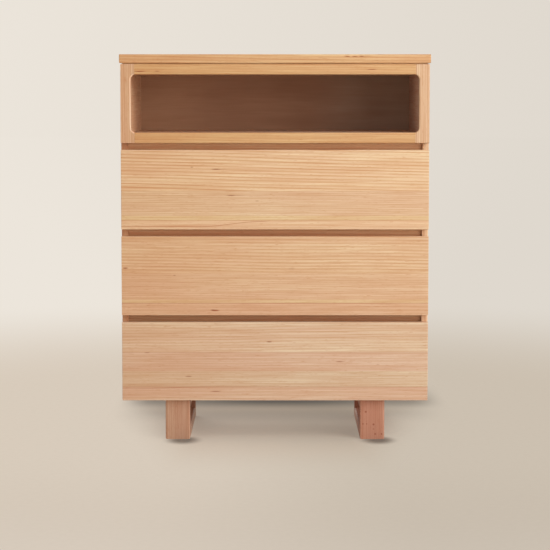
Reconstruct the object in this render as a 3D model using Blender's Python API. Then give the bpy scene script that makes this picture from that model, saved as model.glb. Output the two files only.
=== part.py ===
"""A tallboy in solid timber: an open niche over three full-width drawers, on two leg loops.

The front faces -Y, +X is to the right and +Z is up. The origin is on the floor, under the
middle of the top panel. Lengths are in metres.
"""

import math

import bmesh
import bpy
from mathutils import Vector

# Clearances
SEAT_GAP = 0.0003          # between two pieces that touch
RUNNING_GAP = 0.0004       # between the races of two slide members

# Top panel
TOP_WIDTH = 0.900
TOP_DEPTH = 0.450
TOP_THICKNESS = 0.025      # what shows above the shadow line
TOP_OVERHANG = 0.003       # past the case, all round
SHADOW_LINE = 0.003        # height of the rebate under the edge
SHADOW_DEPTH = 0.009       # how far the rebate runs in over the case

# Case
SIDE_THICKNESS = 0.018
BOTTOM_THICKNESS = 0.018
BACK_THICKNESS = 0.009
BACK_LAP = 0.009           # how far the back panel reaches into the rebate of each side

# Fronts and finger gaps
FRONT_THICKNESS = 0.020    # drawer fronts and niche frame
FRONT_HEIGHT = 0.231
DRAWER_COUNT = 3
FINGER_GAP = 0.020
FINGER_RECESS = 0.010      # from the side panels' front edges back to a finger rail
RAIL_THICKNESS = 0.020
RAIL_LAP = 0.012           # how far a finger rail reaches past its gap

# Niche
NICHE_HEIGHT = 0.2275      # outside height of the frame
FRAME_RAIL_HEIGHT = 0.030
STILE_SHOULDER = 0.010     # how much wider a stile is beside the rails
NICHE_WALL = 0.0117        # lining between a side panel and the opening
NICHE_PANEL = 0.018        # floor and ceiling
NICHE_RADIUS = 0.015
CORNER_STEPS = 8
RAIL_STEPS = 3             # in the part of a round corner that a rail holds

# Leg loops
LEG_HEIGHT = 0.118
LEG_WIDTH = 0.072
LEG_BOARD = 0.030          # thickness of posts, runner and top rail
LEG_INSET = 0.125          # from the case's side to the outer side of a loop

# Drawer boxes
BOX_WALL = 0.012
BOX_BOTTOM = 0.006
BOX_BEHIND = 0.0147        # free space between box and back panel
FINGER_ROOM = 0.028        # from a finger rail down to the top of the box under it
BOX_CLEARANCE = 0.005      # from what lies under a box up to the box
GROOVE_RISE = 0.010        # from the bottom of the box up to its bottom panel
GROOVE_DEPTH = 0.006

# Slides
SLIDE_SPACE = 0.0127       # between side panel and drawer box
SLIDE_HEIGHT = 0.045
SLIDE_SHEET = 0.0012
SLIDE_SETBACK = 0.002      # from the side panels' front edges
SLIDE_BEHIND = 0.0127      # free space between slide and back panel
WEB_GAP = 0.0017           # between the webs of the cabinet and the middle member
RACE_THICKNESS = 0.0042
CABINET_FREE = 0.0027      # from the cabinet member's flanges to the drawer box
MIDDLE_FREE = 0.0017       # from the middle member's flanges to the drawer box
DRAWER_FREE = 0.0012       # from the drawer member's flanges to the middle member's web

# Eased edges
ARRIS = 0.0015
OPENING_ARRIS = 0.0035
LEG_ARRIS = 0.0040
BOX_ARRIS = 0.0010
ARRIS_STEPS = 2

# Places worked out from the sizes above
FACE_Y = -TOP_DEPTH / 2 + TOP_OVERHANG
CASE_FRONT = FACE_Y + FRONT_THICKNESS + SEAT_GAP
CASE_BACK = TOP_DEPTH / 2 - TOP_OVERHANG
CASE_HALF = TOP_WIDTH / 2 - TOP_OVERHANG
INNER_HALF = CASE_HALF - SIDE_THICKNESS
BACK_FACE = CASE_BACK - BACK_THICKNESS
PITCH = FRONT_HEIGHT + FINGER_GAP
NICHE_BASE = LEG_HEIGHT + DRAWER_COUNT * PITCH
CASE_TOP = NICHE_BASE + NICHE_HEIGHT
OPENING_HALF = INNER_HALF - SEAT_GAP - NICHE_WALL
OPENING_LOW = NICHE_BASE + FRAME_RAIL_HEIGHT
OPENING_HIGH = CASE_TOP - FRAME_RAIL_HEIGHT
STILE_JOINT = OPENING_HALF - STILE_SHOULDER
BOX_HALF = INNER_HALF - SLIDE_SPACE
BOX_RISE = max(BOTTOM_THICKNESS, RAIL_LAP) + BOX_CLEARANCE
BOX_DROP = RAIL_LAP + FINGER_ROOM

SIDES = {"left": -1, "right": 1}


def clear_scene():
    for obj in list(bpy.data.objects):
        bpy.data.objects.remove(obj, do_unlink=True)


def make_material(name, colour, roughness, metallic=0.0):
    material = bpy.data.materials.new(name)
    material.use_nodes = True
    shader = material.node_tree.nodes["Principled BSDF"]
    shader.inputs["Base Color"].default_value = (*colour, 1.0)
    shader.inputs["Roughness"].default_value = roughness
    shader.inputs["Metallic"].default_value = metallic
    return material


def make_box(x, y, z):
    """A box as a bmesh, from three (low, high) pairs."""
    mesh = bmesh.new()
    bmesh.ops.create_cube(mesh, size=1.0)
    for vert in mesh.verts:
        for axis, (low, high) in enumerate((x, y, z)):
            vert.co[axis] = high if vert.co[axis] > 0 else low
    return mesh


def make_prism(outline, axis, low, high):
    """A closed outline, pushed along an axis from low to high.

    The outline's two coordinates are those of the other two axes, in X, Y, Z order.
    """
    mesh = bmesh.new()
    corners = []
    for point in outline:
        corner = list(point)
        corner.insert(axis, low)
        corners.append(mesh.verts.new(corner))
    face = mesh.faces.new(corners)
    pushed = bmesh.ops.extrude_face_region(mesh, geom=[face])
    reach = Vector((0, 0, 0))
    reach[axis] = high - low
    moved = [item for item in pushed["geom"] if isinstance(item, bmesh.types.BMVert)]
    bmesh.ops.translate(mesh, verts=moved, vec=reach)
    bmesh.ops.recalc_face_normals(mesh, faces=mesh.faces)
    return mesh


def ease_edges(mesh, width, wanted=None):
    """Rounds the sharp edges over: all of them, or those whose two ends are wanted."""
    edges = []
    for edge in mesh.edges:
        if edge.calc_face_angle(0) < math.radians(30):
            continue
        ends = [vert.co for vert in edge.verts]
        if wanted is None or wanted(ends[0], ends[1]):
            edges.append(edge)
    bmesh.ops.bevel(mesh, geom=edges, offset=width, segments=ARRIS_STEPS, profile=0.5,
                    affect="EDGES", clamp_overlap=True)


def place(name, mesh, material, parent=None):
    """Makes the object of a bmesh drawn in world coordinates, with its origin at its parent's."""
    origin = parent.location if parent else Vector((0, 0, 0))
    bmesh.ops.translate(mesh, verts=mesh.verts, vec=-origin)
    data = bpy.data.meshes.new(name)
    mesh.to_mesh(data)
    mesh.free()
    data.materials.append(material)
    data.shade_smooth()
    data.set_sharp_from_angle(angle=math.radians(35))
    obj = bpy.data.objects.new(name, data)
    obj.parent = parent
    bpy.context.scene.collection.objects.link(obj)
    return obj


def make_pivot(name, location):
    pivot = bpy.data.objects.new(name, None)
    pivot.empty_display_size = 0.05
    pivot.location = location
    bpy.context.scene.collection.objects.link(pivot)
    return pivot


def front_base(number):
    """Height of the lower edge of a drawer front. Drawer 1 is the top one."""
    return LEG_HEIGHT + (DRAWER_COUNT - number) * PITCH


def make_top_panel(timber):
    half = TOP_WIDTH / 2
    step = CASE_HALF - SHADOW_DEPTH
    low = CASE_TOP + SEAT_GAP
    edge = CASE_TOP + SHADOW_LINE
    high = edge + TOP_THICKNESS
    mesh = make_box((-half, half), (-TOP_DEPTH / 2, TOP_DEPTH / 2), (edge, high))
    under = next(face for face in mesh.faces if face.normal.z < -0.5)
    bmesh.ops.inset_individual(mesh, faces=[under], thickness=half - step)
    pushed = bmesh.ops.extrude_discrete_faces(mesh, faces=[under])
    bmesh.ops.translate(mesh, verts=pushed["faces"][0].verts, vec=(0, 0, low - edge))
    ease_edges(mesh, ARRIS, lambda a, b: min(a.z, b.z) > edge - SEAT_GAP
               and max(abs(a.x), abs(b.x)) > half - SEAT_GAP)
    place("top_panel", mesh, timber)


def make_side_panel(name, side, timber):
    """A side panel, with a rebate behind its inner edge for the back panel."""
    outer = side * CASE_HALF
    inner = side * INNER_HALF
    rebate = side * (INNER_HALF + BACK_LAP + SEAT_GAP)
    shoulder = BACK_FACE - SEAT_GAP
    outline = [
        (outer, CASE_FRONT),
        (outer, CASE_BACK),
        (rebate, CASE_BACK),
        (rebate, shoulder),
        (inner, shoulder),
        (inner, CASE_FRONT),
    ]
    mesh = make_prism(outline, 2, LEG_HEIGHT, CASE_TOP)
    ease_edges(mesh, ARRIS, lambda a, b: abs(a.x - outer) + abs(b.x - outer) < SEAT_GAP)
    place(name, mesh, timber)


def make_case(timber, board):
    reach = INNER_HALF - SEAT_GAP
    behind = BACK_FACE - SEAT_GAP
    for side_name, side in SIDES.items():
        make_side_panel(f"side_panel_{side_name}", side, timber)
    base = (LEG_HEIGHT, LEG_HEIGHT + BOTTOM_THICKNESS)
    place("bottom_panel", make_box((-reach, reach), (CASE_FRONT, behind), base), timber)
    lap = INNER_HALF + BACK_LAP
    back = make_box((-lap, lap), (BACK_FACE, CASE_BACK), (LEG_HEIGHT, CASE_TOP))
    place("back_panel", back, board)


def make_niche_lining(timber):
    reach = INNER_HALF - SEAT_GAP
    depth = (CASE_FRONT, BACK_FACE - SEAT_GAP)
    floor = (OPENING_LOW - NICHE_PANEL, OPENING_LOW)
    ceiling = (OPENING_HIGH, OPENING_HIGH + NICHE_PANEL)
    wall = (OPENING_LOW + SEAT_GAP, OPENING_HIGH - SEAT_GAP)
    place("niche_floor", make_box((-reach, reach), depth, floor), timber)
    place("niche_ceiling", make_box((-reach, reach), depth, ceiling), timber)
    place("niche_wall_left", make_box((-reach, -OPENING_HALF), depth, wall), timber)
    place("niche_wall_right", make_box((OPENING_HALF, reach), depth, wall), timber)


def corner_arc(side, upper):
    """Points of one round corner of the niche opening, from the stile's edge to the rail's."""
    sign = 1 if upper else -1
    centre_x = OPENING_HALF - NICHE_RADIUS
    centre_z = OPENING_HIGH - NICHE_RADIUS if upper else OPENING_LOW + NICHE_RADIUS
    points = []
    for step in range(CORNER_STEPS + 1):
        angle = math.pi / 2 * step / CORNER_STEPS
        x = centre_x + NICHE_RADIUS * math.cos(angle)
        z = centre_z + sign * NICHE_RADIUS * math.sin(angle)
        points.append((side * x, z))
    return points


def corner_drop(x):
    """How far a round corner has left the straight edge of its rail, at x from the middle."""
    past = max(0.0, x - (OPENING_HALF - NICHE_RADIUS))
    return NICHE_RADIUS - math.sqrt(max(0.0, NICHE_RADIUS ** 2 - past ** 2))


def on_frame_rim(a, b):
    """Whether an edge runs along the outside of the niche frame's face."""
    if max(a.y, b.y) > FACE_Y + SEAT_GAP:
        return False
    upright = min(abs(a.x), abs(b.x)) > CASE_HALF - SEAT_GAP
    level = [z for z in (NICHE_BASE, CASE_TOP) if abs(a.z - z) + abs(b.z - z) < SEAT_GAP]
    return upright or bool(level)


def on_opening(a, b):
    """Whether an edge runs along the opening in the niche frame's face."""
    if max(a.y, b.y) > FACE_Y + SEAT_GAP:
        return False
    low = min(a.z, b.z) > OPENING_LOW - SEAT_GAP
    high = max(a.z, b.z) < OPENING_HIGH + SEAT_GAP
    return low and high and max(abs(a.x), abs(b.x)) < OPENING_HALF + SEAT_GAP


def place_frame_piece(name, outline, timber):
    mesh = make_prism(outline, 1, FACE_Y, FACE_Y + FRONT_THICKNESS)
    ease_edges(mesh, ARRIS, on_frame_rim)
    ease_edges(mesh, OPENING_ARRIS, on_opening)
    place(name, mesh, timber)


def stile_outline(side):
    """An upright of the niche frame: wide at its ends, with the round corners cut into them."""
    outer = side * CASE_HALF
    joint = side * STILE_JOINT
    drop = corner_drop(STILE_JOINT)
    inside = abs(joint) + SEAT_GAP
    upper = [point for point in corner_arc(side, True) if abs(point[0]) > inside]
    lower = [point for point in corner_arc(side, False) if abs(point[0]) > inside]
    top = [(outer, NICHE_BASE), (outer, CASE_TOP), (joint, CASE_TOP), (joint, OPENING_HIGH - drop)]
    base = [(joint, OPENING_LOW + drop), (joint, NICHE_BASE)]
    return top + upper[::-1] + lower + base


def frame_rail_outline(upper):
    """A level rail of the niche frame, with the start of the round corners at its ends."""
    sign = 1 if upper else -1
    edge = OPENING_HIGH if upper else OPENING_LOW
    outside = CASE_TOP if upper else NICHE_BASE
    end = STILE_JOINT - SEAT_GAP
    start = min(end, OPENING_HALF - NICHE_RADIUS)
    places = [start + (end - start) * step / RAIL_STEPS for step in range(RAIL_STEPS + 1)]
    right = [(x, edge - sign * corner_drop(x)) for x in dict.fromkeys(places)]
    left = [(-x, z) for x, z in reversed(right)]
    return [(-end, outside)] + left + right + [(end, outside)]


def make_niche_frame(timber):
    for side_name, side in SIDES.items():
        place_frame_piece(f"niche_stile_{side_name}", stile_outline(side), timber)
    place_frame_piece("niche_top_rail", frame_rail_outline(True), timber)
    place_frame_piece("niche_bottom_rail", frame_rail_outline(False), timber)


def make_finger_rails(timber):
    """The rails that close the case behind each finger gap. The top one carries the niche floor."""
    reach = INNER_HALF - SEAT_GAP
    face = CASE_FRONT + FINGER_RECESS
    for number in range(1, DRAWER_COUNT + 1):
        gap_low = front_base(number) + FRONT_HEIGHT
        high = gap_low + FINGER_GAP + RAIL_LAP
        if number == 1:
            high = OPENING_LOW - NICHE_PANEL - SEAT_GAP
        height = (gap_low - RAIL_LAP, high)
        rail = make_box((-reach, reach), (face, face + RAIL_THICKNESS), height)
        place(f"finger_rail_{number}", rail, timber)


def mitred(start, end, outside, inside, gap):
    """Section of a board between two mitres: its outside runs from start to end, less a gap."""
    shift = abs(outside - inside)
    low, high = start + gap, end - gap
    return [(low, outside), (high, outside), (high - shift, inside), (low + shift, inside)]


def make_leg_loop(side_name, side, timber):
    """A closed loop of four boards, mitred at its corners."""
    outer = CASE_HALF - LEG_INSET
    x = sorted((side * outer, side * (outer - LEG_WIDTH)))
    near, far, top = CASE_FRONT, CASE_BACK, LEG_HEIGHT - SEAT_GAP
    gap = SEAT_GAP * math.sqrt(2)
    lying = {
        "runner": mitred(near, far, 0.0, LEG_BOARD, gap),
        "top_rail": mitred(near, far, top, top - LEG_BOARD, gap),
    }
    standing = {
        "front_post": mitred(0.0, top, near, near + LEG_BOARD, 0.0),
        "rear_post": mitred(0.0, top, far, far - LEG_BOARD, 0.0),
    }
    turned = {piece: [(y, z) for z, y in section] for piece, section in standing.items()}
    for piece, section in (lying | turned).items():
        mesh = make_prism(section, 0, *x)
        ease_edges(mesh, LEG_ARRIS, lambda a, b: abs(a.x - b.x) < SEAT_GAP and runs_along(a, b))
        place(f"leg_{side_name}_{piece}", mesh, timber)


def runs_along(a, b):
    """Whether an edge runs straight along Y or straight up, and not across a mitre."""
    return abs(a.y - b.y) < SEAT_GAP or abs(a.z - b.z) < SEAT_GAP


def make_drawer(number, timber, box_timber, board):
    low = front_base(number)
    high = low + FRONT_HEIGHT
    pivot = make_pivot(f"drawer_{number}_travel", (0, CASE_FRONT, (low + high) / 2))
    front = make_box((-CASE_HALF, CASE_HALF), (FACE_Y, FACE_Y + FRONT_THICKNESS), (low, high))
    ease_edges(front, ARRIS)
    place(f"drawer_{number}_front", front, timber, pivot)

    base = low + BOX_RISE
    rim = high - BOX_DROP
    near = CASE_FRONT
    far = BACK_FACE - BOX_BEHIND
    panel = (base + GROOVE_RISE, base + GROOVE_RISE + BOX_BOTTOM)
    groove = (panel[0] - SEAT_GAP, panel[1] + SEAT_GAP)
    inner = BOX_HALF - BOX_WALL

    for side_name, side in SIDES.items():
        outline = grooved_wall(side * BOX_HALF, side * inner, base, rim, groove)
        mesh = make_prism(outline, 1, near, far)
        ease_edges(mesh, BOX_ARRIS, lambda a, b: min(a.z, b.z) > rim - SEAT_GAP)
        place(f"drawer_{number}_side_{side_name}", mesh, box_timber, pivot)

    reach = inner - SEAT_GAP
    outline = grooved_wall(near, near + BOX_WALL, base, rim, groove)
    mesh = make_prism(outline, 0, -reach, reach)
    ease_edges(mesh, BOX_ARRIS, lambda a, b: along_rim(a, b, rim))
    place(f"drawer_{number}_box_front", mesh, box_timber, pivot)

    mesh = make_box((-reach, reach), (far - BOX_WALL, far), (groove[1], rim))
    ease_edges(mesh, BOX_ARRIS, lambda a, b: along_rim(a, b, rim))
    place(f"drawer_{number}_back", mesh, box_timber, pivot)

    in_groove = inner + GROOVE_DEPTH - SEAT_GAP
    front_edge = near + BOX_WALL - GROOVE_DEPTH + SEAT_GAP
    mesh = make_box((-in_groove, in_groove), (front_edge, far), panel)
    place(f"drawer_{number}_bottom", mesh, board, pivot)


def along_rim(a, b, rim):
    """Whether an edge runs along the top of a drawer box's front or back."""
    return min(a.z, b.z) > rim - SEAT_GAP and abs(a.x - b.x) > SEAT_GAP


def grooved_wall(outside, inside, low, high, groove):
    """Section of a drawer box's wall, with the groove for the bottom panel in its inner face."""
    outward = 1 if outside > inside else -1
    floor = inside + outward * GROOVE_DEPTH
    return [
        (outside, low),
        (outside, high),
        (inside, high),
        (inside, groove[1]),
        (floor, groove[1]),
        (floor, groove[0]),
        (inside, groove[0]),
        (inside, low),
    ]


def channel(side, level, web_face, web_back, flange_end, half, thickness):
    """Section of a slide member. Distances run inwards from a side panel's inner face."""
    inner = half - thickness
    points = [
        (web_face, -half),
        (web_face, half),
        (flange_end, half),
        (flange_end, inner),
        (web_back, inner),
        (web_back, -inner),
        (flange_end, -inner),
        (flange_end, -half),
    ]
    return [(side * (INNER_HALF - away), level + height) for away, height in points]


def make_slides(number, steel):
    """Both slides of a drawer: a cabinet, a middle and a drawer member on each side."""
    drawer_pivot = bpy.data.objects[f"drawer_{number}_travel"]
    box_base = front_base(number) + BOX_RISE
    box_rim = front_base(number) + FRONT_HEIGHT - BOX_DROP
    level = (box_base + box_rim) / 2
    near = CASE_FRONT + SLIDE_SETBACK
    far = BACK_FACE - SLIDE_BEHIND
    middle_pivot = make_pivot(f"slide_{number}_travel", (0, near, level))

    cabinet_half = SLIDE_HEIGHT / 2
    middle_half = cabinet_half - SLIDE_SHEET - RUNNING_GAP
    drawer_half = middle_half - RACE_THICKNESS - RUNNING_GAP

    cabinet_back = SEAT_GAP + SLIDE_SHEET
    middle_web = cabinet_back + WEB_GAP
    middle_back = middle_web + SLIDE_SHEET
    drawer_web = SLIDE_SPACE - SEAT_GAP
    drawer_back = drawer_web - SLIDE_SHEET

    for side_name, side in SIDES.items():
        cabinet = channel(side, level, SEAT_GAP, cabinet_back, SLIDE_SPACE - CABINET_FREE,
                          cabinet_half, SLIDE_SHEET)
        middle = channel(side, level, middle_web, middle_back, SLIDE_SPACE - MIDDLE_FREE,
                         middle_half, RACE_THICKNESS)
        drawer = channel(side, level, drawer_web, drawer_back, middle_back + DRAWER_FREE,
                         drawer_half, SLIDE_SHEET)
        members = (("cabinet", cabinet, None), ("middle", middle, middle_pivot),
                   ("drawer", drawer, drawer_pivot))
        for member, outline, pivot in members:
            mesh = make_prism(outline, 1, near, far)
            place(f"slide_{number}_{side_name}_{member}_member", mesh, steel, pivot)


def main():
    clear_scene()
    timber = make_material("oiled_timber", (0.72, 0.44, 0.24), 0.45)
    inner_timber = make_material("niche_timber", (0.45, 0.26, 0.15), 0.5)
    leg_timber = make_material("leg_timber", (0.48, 0.22, 0.13), 0.5)
    box_timber = make_material("drawer_timber", (0.68, 0.50, 0.32), 0.55)
    board = make_material("back_board", (0.50, 0.33, 0.20), 0.6)
    steel = make_material("zinc_steel", (0.62, 0.63, 0.65), 0.35, 1.0)
    make_top_panel(timber)
    make_case(timber, board)
    make_niche_lining(inner_timber)
    make_niche_frame(timber)
    make_finger_rails(inner_timber)
    for side_name, side in SIDES.items():
        make_leg_loop(side_name, side, leg_timber)
    for number in range(1, DRAWER_COUNT + 1):
        make_drawer(number, timber, box_timber, board)
        make_slides(number, steel)


main()
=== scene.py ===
import math
import random

import bmesh
import bpy
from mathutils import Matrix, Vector


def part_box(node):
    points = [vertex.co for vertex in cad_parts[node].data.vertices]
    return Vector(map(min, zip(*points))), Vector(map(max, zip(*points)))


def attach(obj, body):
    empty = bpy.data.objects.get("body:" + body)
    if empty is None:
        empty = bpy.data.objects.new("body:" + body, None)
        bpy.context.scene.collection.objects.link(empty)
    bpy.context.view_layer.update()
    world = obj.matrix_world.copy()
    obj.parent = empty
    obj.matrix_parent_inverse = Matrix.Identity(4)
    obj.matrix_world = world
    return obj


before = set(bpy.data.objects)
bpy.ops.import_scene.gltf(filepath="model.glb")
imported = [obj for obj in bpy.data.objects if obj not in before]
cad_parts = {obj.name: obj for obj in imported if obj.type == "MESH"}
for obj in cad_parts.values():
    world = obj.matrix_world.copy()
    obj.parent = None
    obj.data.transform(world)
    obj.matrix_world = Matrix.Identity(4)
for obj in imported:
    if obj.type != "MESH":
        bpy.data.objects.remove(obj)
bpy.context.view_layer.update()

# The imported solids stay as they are. This script gives them wood, board and steel, adds the
# screws that hold them, and sets the floor, the light and the camera. Lengths are in metres.

X, Y, Z = 0, 1, 2
DRAWERS = (1, 2, 3)
SIDES = {"left": -1, "right": 1}
SPECULAR = 0.3         # oiled timber mirrors less than most surfaces


def srgb(red, green, blue):
    """A colour written as it looks on a screen, 0 to 255, as the shader's linear values."""
    levels = []
    for value in (red, green, blue):
        share = value / 255
        levels.append(share / 12.92 if share <= 0.04045 else ((share + 0.055) / 1.055) ** 2.4)
    return (*levels, 1.0)


class Nodes:
    """A tree of shader nodes. Most methods add a node and return its output."""

    def __init__(self, tree):
        self.tree = tree

    def feed(self, socket, value):
        """Links an output to a socket, or gives the socket a plain value."""
        if isinstance(value, bpy.types.NodeSocket):
            self.tree.links.new(value, socket)
        else:
            socket.default_value = value

    def add(self, kind, inputs, **settings):
        """Any node, with its inputs fed. It returns the node itself."""
        node = self.tree.nodes.new(kind)
        for setting, value in settings.items():
            setattr(node, setting, value)
        for socket, value in inputs.items():
            self.feed(node.inputs[socket], value)
        return node

    def coordinates(self, which):
        return self.add("ShaderNodeTexCoord", {}).outputs[which]

    def split(self, vector):
        return self.add("ShaderNodeSeparateXYZ", {0: vector}).outputs

    def join(self, x, y, z):
        return self.add("ShaderNodeCombineXYZ", {0: x, 1: y, 2: z}).outputs[0]

    def calc(self, operation, *values):
        node = self.add("ShaderNodeMath", dict(enumerate(values)), operation=operation)
        return node.outputs[0]

    def vector_calc(self, operation, *vectors):
        node = self.add("ShaderNodeVectorMath", dict(enumerate(vectors)), operation=operation)
        return node.outputs[0]

    def length(self, vector):
        return self.add("ShaderNodeVectorMath", {0: vector}, operation="LENGTH").outputs["Value"]

    def times(self, product, *values):
        """The product of two or more numbers."""
        for value in values:
            product = self.calc("MULTIPLY", product, value)
        return product

    def total(self, start, *parts):
        """start, with each part's value added times its weight."""
        for value, weight in parts:
            start = self.calc("MULTIPLY_ADD", value, weight, start)
        return start

    def remap(self, value, low, high, to_low=0.0, to_high=1.0, kind="SMOOTHSTEP"):
        inputs = {0: value, 1: low, 2: high, 3: to_low, 4: to_high}
        return self.add("ShaderNodeMapRange", inputs, interpolation_type=kind).outputs[0]

    def partway(self, share, low, high):
        """The value that lies a share of the way from low to high."""
        return self.remap(share, 0.0, 1.0, low, high, "LINEAR")

    def mix(self, factor, a, b, blend="MIX"):
        """Two colours mixed. The node takes colours at its sockets 6 and 7, and gives one at 2."""
        node = self.add("ShaderNodeMix", {0: factor, 6: a, 7: b}, data_type="RGBA", blend_type=blend)
        return node.outputs[2]

    def tint(self, colour, share):
        """A colour multiplied by another."""
        return self.mix(1.0, colour, share, "MULTIPLY")

    def noise(self, vector, detail=2.0, roughness=0.5, scale=1.0):
        inputs = {"Vector": vector, "Scale": scale, "Detail": detail, "Roughness": roughness}
        return self.add("ShaderNodeTexNoise", inputs).outputs[0]

    def chance(self, number):
        """A random value from 0 to 1 that stays the same for one whole number."""
        return self.add("ShaderNodeTexWhiteNoise", {"W": number}, noise_dimensions="1D").outputs[0]

    def ramp(self, factor, stops, kind="LINEAR"):
        """stops are (place, colour) in rising order, at most 32."""
        node = self.add("ShaderNodeValToRGB", {0: factor})
        band = node.color_ramp
        band.interpolation = kind
        band.elements[0].position, band.elements[0].color = stops[0]
        band.elements[1].position, band.elements[1].color = stops[-1]
        for place, colour in stops[1:-1]:
            band.elements.new(place).color = colour
        return node.outputs[0]

    def plainly_seen(self):
        """1 for the rays that see the backdrop: from the camera, off gloss and through glass."""
        path = self.add("ShaderNodeLightPath", {}).outputs
        rays = self.calc("MAXIMUM", path["Is Camera Ray"], path["Is Glossy Ray"])
        return self.calc("MAXIMUM", rays, path["Is Transmission Ray"])


class Shader(Nodes):
    """The nodes of one material."""

    def __init__(self, name):
        self.material = bpy.data.materials.new(name)
        self.material.use_nodes = True
        super().__init__(self.material.node_tree)
        self.surface = self.tree.nodes["Principled BSDF"]
        self.surface.inputs["Specular IOR Level"].default_value = SPECULAR

    def finish(self, colour, roughness, height, depth):
        """Feeds the surface. height is the relief, in shares of depth, and depth is in metres."""
        bump = self.add("ShaderNodeBump", {"Height": height, "Distance": depth, "Strength": 1.0})
        self.feed(self.surface.inputs["Base Color"], colour)
        self.feed(self.surface.inputs["Roughness"], roughness)
        self.feed(self.surface.inputs["Normal"], bump.outputs[0])
        return self.material


PLAIN = (1.0, 1.0, 1.0)     # a tint that leaves the timber's colour as it is


class Board:
    """One board of a glued panel, with its place in the tree that it was cut from.

    width is across the grain. pith is where the centre of the tree lies, seen from the board's
    lower edge: across the panel and through it. ring is the distance between growth rings,
    contrast how dark they are, and lean how far they stray from the board's length, in metres
    a metre. tint is the board's colour as a share of the timber's, and joint how dark the glue
    line under it is.
    """

    def __init__(self, width, pith, ring, contrast, tint=PLAIN, lean=0.0, joint=0.5):
        self.width = width
        self.pith = pith
        self.ring = ring
        self.contrast = contrast
        self.tint = tint
        self.lean = lean
        self.joint = joint


# What random boards are drawn from: each pair is the lowest and the highest value
BOARD_WIDTH = 0.105
WIDTH_SPREAD = (0.80, 1.25)     # as a share of the usual width
SLIVER = 0.35                   # a rest narrower than this share stays with the last board
PITH_ACROSS = (-0.20, 0.25)
PITH_AWAY = (0.02, 0.14)
TONE_SPREAD = (0.94, 1.05)
GREEN_SPREAD = (0.97, 1.01)
BLUE_SPREAD = (0.94, 1.03)
RING_SPREAD = (0.005, 0.009)
LEAN_SPREAD = (-0.02, 0.02)
CONTRAST = 0.6


def random_boards(extent, seed, width=BOARD_WIDTH, contrast=CONTRAST):
    """Boards of uneven width that fill a panel, each from another place in a tree."""
    draw = random.Random(seed)
    boards = []
    left = extent
    while left > 0:
        wide = min(left, width * draw.uniform(*WIDTH_SPREAD))
        if left - wide < width * SLIVER:
            wide = left
        pith = (draw.uniform(*PITH_ACROSS), draw.choice((-1, 1)) * draw.uniform(*PITH_AWAY))
        tone = draw.uniform(*TONE_SPREAD)
        tint = (tone, tone * draw.uniform(*GREEN_SPREAD), tone * draw.uniform(*BLUE_SPREAD))
        ring = draw.uniform(*RING_SPREAD)
        boards.append(Board(wide, pith, ring, contrast, tint, draw.uniform(*LEAN_SPREAD)))
        left -= wide
    return boards


# A colour ramp holds 0 to 1, so each board's numbers pass through it as shares of these
PITH_RANGE = 0.5       # how far off the panel's face, and twice as far across from its lower edge
RING_RANGE = 0.02
LEAN_RANGE = 0.1
TINT_RANGE = 1.5

# How the growth rings run
SWAY = 0.024                # how far they sway
SWAY_ALONG = 1.3            # how often, per metre of grain, and across it
SWAY_ACROSS = 3.0
SWAY_ROUGHNESS = 0.3
UNEVEN = 0.8                # how far a ring strays from even spacing, in rings
UNEVEN_RATE = 0.45
LATE_START = (0.45, 0.75)   # where in a ring the dark latewood grows in, and where it stops
LATE_END = (0.85, 1.0)
FAINTEST = 0.45             # a faint ring's strength, where a strong one has 1
FADE_ALONG = 4.5            # how often a ring fades, per metre
FADE_EDGE = (0.30, 0.60)
BOARDS_APART = 37.0         # spreads the boards, and the rings, so that no two look alike
RINGS_APART = 40.0

# How often streaks repeat, per metre, along and across the grain, and their detail
BROAD = (1.2, 60.0, 2.0)
FIBRE = (7.0, 260.0, 3.0)
PORES = (45.0, 700.0, 1.0)
BREAK_UP = 0.6              # how strongly the fine detail breaks them up
PATCH_ALONG = 1.6
PATCH_ACROSS = 12.0

SEAM_HALF = 0.0011          # half the width of the dark line at a glue joint
END_GRAIN = (0.5, 0.95)     # how far a face looks along the grain, and how dark that makes it
END_DARK = 0.55
EASED_OUTER = (0.3, 0.5)    # how far an eased edge looks forwards, and where the flat face begins
EASED_INNER = (0.85, 0.97)
VEIN_WANDER = 0.002
VEIN_RATE = 9.0
VEIN_DARK = 0.65
VEIN_END = 0.03             # over how long a vein fades out
MARK_EDGE = (-0.3, 0.7)     # over which part of its size a gum mark fades
MARK_DARK = 0.9

# Colours as shares of the timber's own
LATEWOOD = (0.755, 0.495, 0.35, 1.0)
PALE_PATCH = (1.03, 1.05, 1.04, 1.0)
ROSY_PATCH = (0.98, 0.92, 0.91, 1.0)
PAINTED_LEFT_SHADE = (0.965, 0.915, 0.87, 1.0)     # painted shade: the left end of the object is darker, as less light falls there
GUM = (0.50, 0.21, 0.09, 1.0)
PAINTED_RECESS_SHADE = (0.78, 0.66, 0.58, 1.0)    # painted shade in a recess, where the pieces around it hold back the light
WEAR_AND_HIGHLIGHT = (1.13, 1.20, 1.28, 1.0)     # eased edges: paler from wear, and a painted highlight where they catch the light
LEFT_SHADE_STRETCH = (-0.42, 0.10)         # from where on the left the painted shade is full, to where it ends

# Between which levels of its noise each feature darkens the timber, and by how much at most
PATCH_EDGE = (0.35, 0.65)
BROAD_DARK = (0.38, 0.70, 0.0, 0.30)
FIBRE_DARK = (0.35, 0.70, 0.0, 0.42)
PORE_EDGE = (0.62, 0.72)
PORE_DARK = 0.6


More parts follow.
